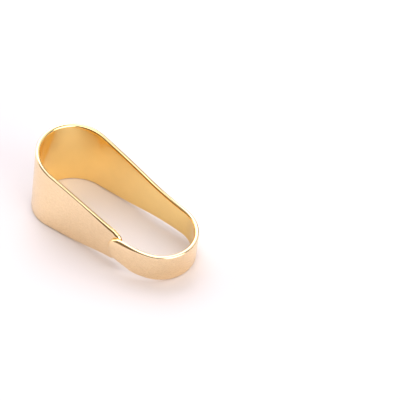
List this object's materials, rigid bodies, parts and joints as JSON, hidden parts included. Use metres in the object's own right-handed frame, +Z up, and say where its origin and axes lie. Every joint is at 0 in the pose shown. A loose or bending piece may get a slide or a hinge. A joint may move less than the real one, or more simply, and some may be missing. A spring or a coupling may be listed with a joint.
{
  "type": "pendant bail finding",
  "caption": "Bent sheet-metal bail: a long loop, broad where a chain runs through it and narrow where a pendant's ring hangs, with a lapped tongue that springs open.",
  "frame": {"origin": "on the surface that the loop lies on, under the middle of its outline", "axes": "+X from the broad bend to the narrow bend, +Y across the loop to the wall with no lap, +Z up; the loop leans 7.2 degrees down towards +X, as it rests on its lower edges"},
  "size_m": [0.0108, 0.0046, 0.0044],
  "materials": {
    "plated_gold": "polished pale gold plate"
  },
  "bodies": {
    "root": {"bail_loop": "plated_gold"}
  },
  "joints": []
}
